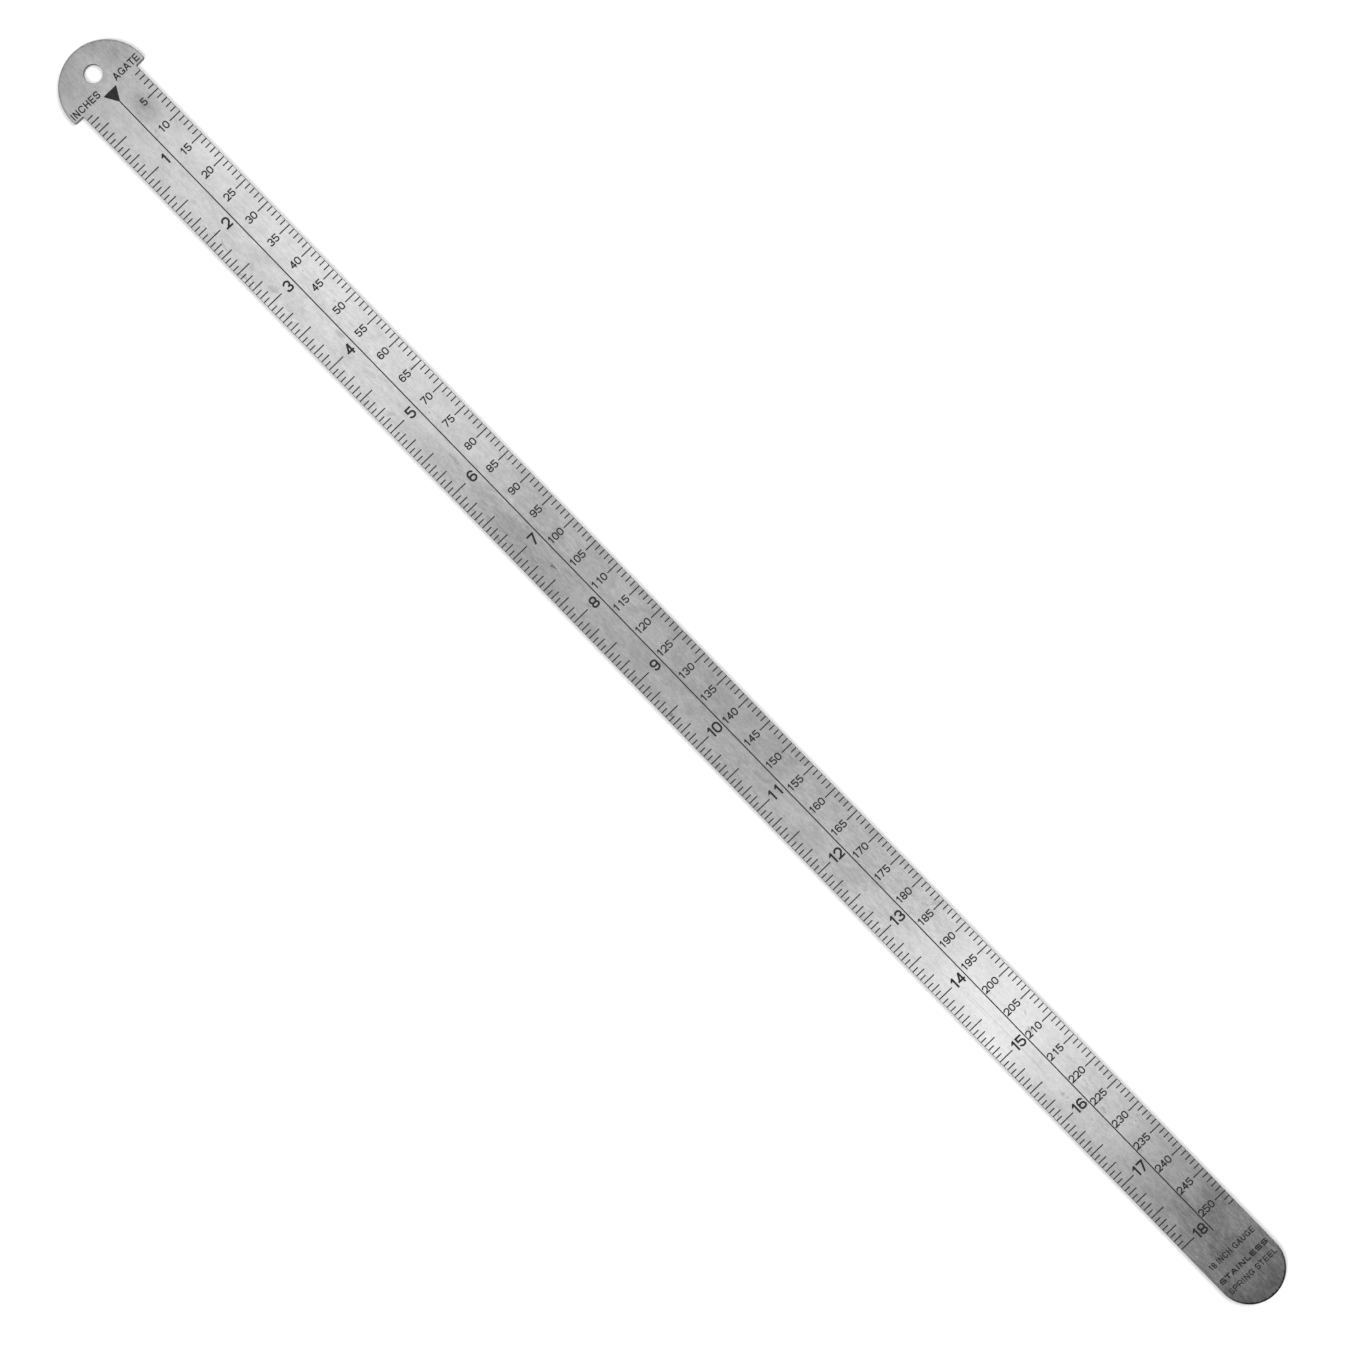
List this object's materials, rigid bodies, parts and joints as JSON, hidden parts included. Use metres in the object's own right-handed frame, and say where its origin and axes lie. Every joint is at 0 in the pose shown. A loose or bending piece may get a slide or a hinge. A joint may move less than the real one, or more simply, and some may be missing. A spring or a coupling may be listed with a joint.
{
  "type": "line gauge ruler",
  "caption": "Thin stainless steel line gauge: flat blade with a round hook head and hanging hole, an inch scale on one edge, an agate scale on the other and a full-radius tail.",
  "frame": {"origin": "middle of the overall length and width, on the unmarked underside", "axes": "+X along the blade from the head to the tail, +Y from the inch edge to the agate edge, +Z out of the marked face; the zero of both scales is at x = -0.2352 m"},
  "size_m": [0.501, 0.0278, 0.001],
  "materials": {
    "steel": "satin, fine grain along the length",
    "black_enamel": "satin black"
  },
  "bodies": {
    "root": {"steel_blade": "steel", "zero_pointer": "black_enamel", "centre_line": "black_enamel", "inch_marks_whole": "black_enamel", "inch_marks_half": "black_enamel", "inch_marks_quarter": "black_enamel", "inch_marks_eighth": "black_enamel", "inch_marks_sixteenth": "black_enamel", "inch_numerals": "black_enamel", "agate_marks_fifth": "black_enamel", "agate_marks_single": "black_enamel", "agate_numerals": "black_enamel", "label_inches": "black_enamel", "label_agate": "black_enamel", "inscription_length": "black_enamel", "inscription_steel": "black_enamel", "inscription_temper": "black_enamel"}
  },
  "joints": []
}
